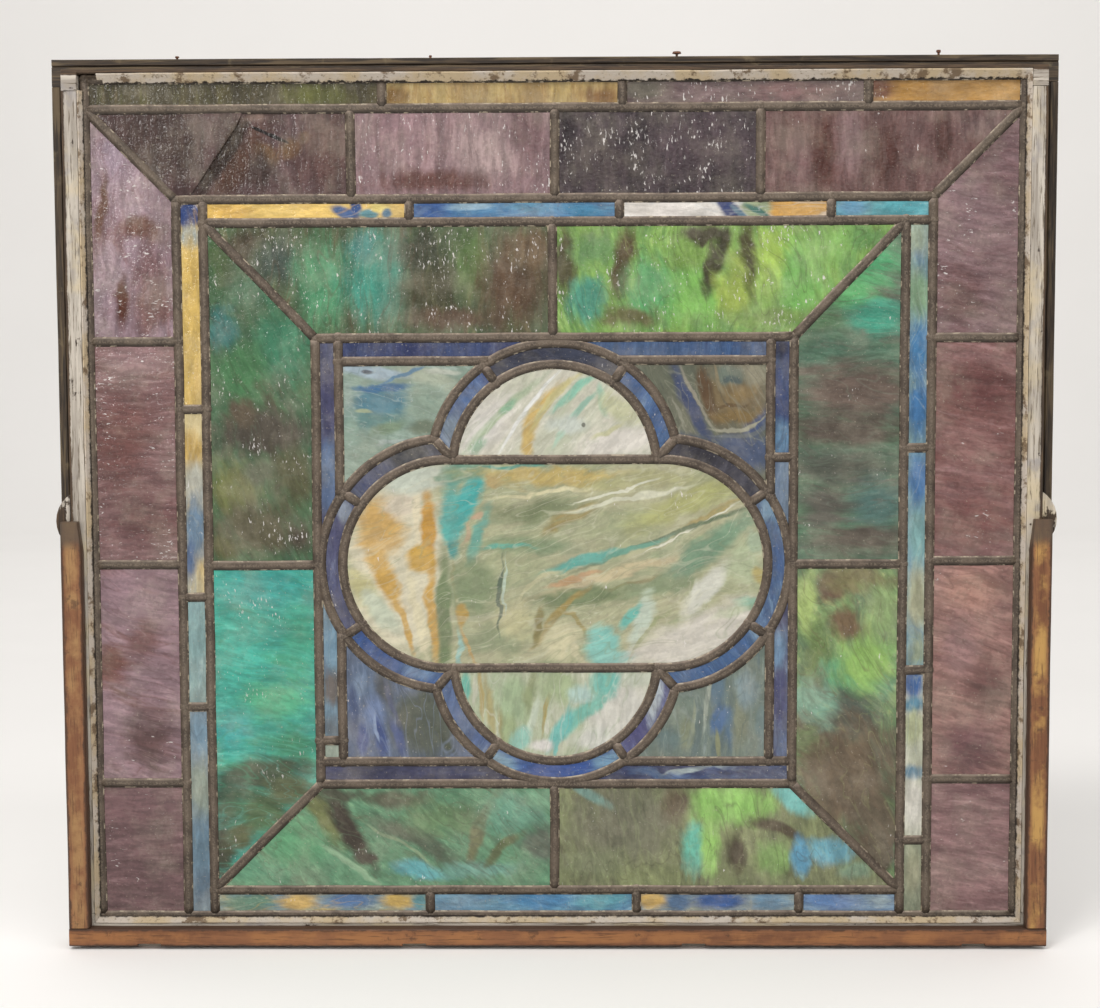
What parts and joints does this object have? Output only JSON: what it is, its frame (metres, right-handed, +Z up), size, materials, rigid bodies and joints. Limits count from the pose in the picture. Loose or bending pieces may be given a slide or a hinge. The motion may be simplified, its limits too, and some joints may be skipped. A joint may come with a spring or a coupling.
{
  "type": "stained glass window",
  "caption": "Leaded stained glass window in a painted timber pivot sash: mitred bands of streaky glass round a square with a four-lobed centre, stop beads front and back.",
  "frame": {"origin": "middle of the underside of the bottom rail of the sash, half way through its thickness, where the sash stands on its sill", "axes": "+Z up the window, +X to the right seen from the front, the front with the putty and the lower stop beads faces -Y"},
  "size_m": [0.979, 0.058, 0.8773],
  "materials": {
    "purple_glass": "opalescent, streaked mauve, gloss",
    "olive_glass": "opalescent, olive and grey, gloss",
    "amber_glass": "opalescent, amber, gloss",
    "ribbon_glass": "opalescent, streaks of blue, teal, yellow and white, gloss",
    "green_glass": "opalescent, streaks of green, turquoise, lime and brown, gloss",
    "blue_glass": "opalescent, streaked blue and violet, gloss",
    "field_glass": "opalescent, grey green with streaks, gloss",
    "centre_glass": "opalescent, cream with amber, turquoise and sage streaks, gloss",
    "lead": "dull grey brown lead, soldered joints",
    "putty": "matt, dry and cracked",
    "painted_wood": "old white paint, worn through",
    "varnished_wood": "brown varnish, weathered",
    "dark_wood": "dark brown, weathered",
    "pivot_wood": "old cream paint, worn",
    "iron": "rusted"
  },
  "bodies": {
    "root": {"back_bead_left": "dark_wood", "back_bead_right": "dark_wood", "back_bead_top": "dark_wood", "front_bead_bottom": "varnished_wood", "front_bead_left": "varnished_wood", "front_bead_right": "varnished_wood", "glass_blue_bottom_left": "blue_glass", "glass_blue_bottom_right": "blue_glass", "glass_blue_top_left": "blue_glass", "glass_blue_top_right": "blue_glass", "glass_centre_bottom": "centre_glass", "glass_centre_middle": "centre_glass", "glass_centre_top": "centre_glass", "glass_field_bottom_left": "field_glass", "glass_field_bottom_right": "field_glass", "glass_field_top_left": "field_glass", "glass_field_top_right": "field_glass", "glass_green_bottom_left": "green_glass", "glass_green_bottom_right": "green_glass", "glass_green_left_lower": "green_glass", "glass_green_left_upper": "green_glass", "glass_green_right_lower": "green_glass", "glass_green_right_upper": "green_glass", "glass_green_top_left": "green_glass", "glass_green_top_right": "green_glass", "glass_purple_left_1": "purple_glass", "glass_purple_left_2": "purple_glass", "glass_purple_left_3": "purple_glass", "glass_purple_left_4": "purple_glass", "glass_purple_right_1": "purple_glass", "glass_purple_right_2": "purple_glass", "glass_purple_right_3": "purple_glass", "glass_purple_right_4": "purple_glass", "glass_purple_top_1": "purple_glass", "glass_purple_top_2": "purple_glass", "glass_purple_top_3": "purple_glass", "glass_purple_top_4": "purple_glass", "glass_ribbon_bottom": "ribbon_glass", "glass_ribbon_left": "ribbon_glass", "glass_ribbon_right": "ribbon_glass", "glass_ribbon_top": "ribbon_glass", "glass_ring": "blue_glass", "glass_top_strip_1": "olive_glass", "glass_top_strip_2": "amber_glass", "glass_top_strip_3": "purple_glass", "glass_top_strip_4": "amber_glass", "glazing_putty": "putty", "lead_cames": "lead", "pivot_block_left": "pivot_wood", "pivot_block_right": "pivot_wood", "sash_rail_bottom": "painted_wood", "sash_rail_top": "painted_wood", "sash_stile_left": "painted_wood", "sash_stile_right": "painted_wood", "top_nail_1": "iron", "top_nail_2": "iron", "top_nail_3": "iron", "top_nail_4": "iron"}
  },
  "joints": []
}
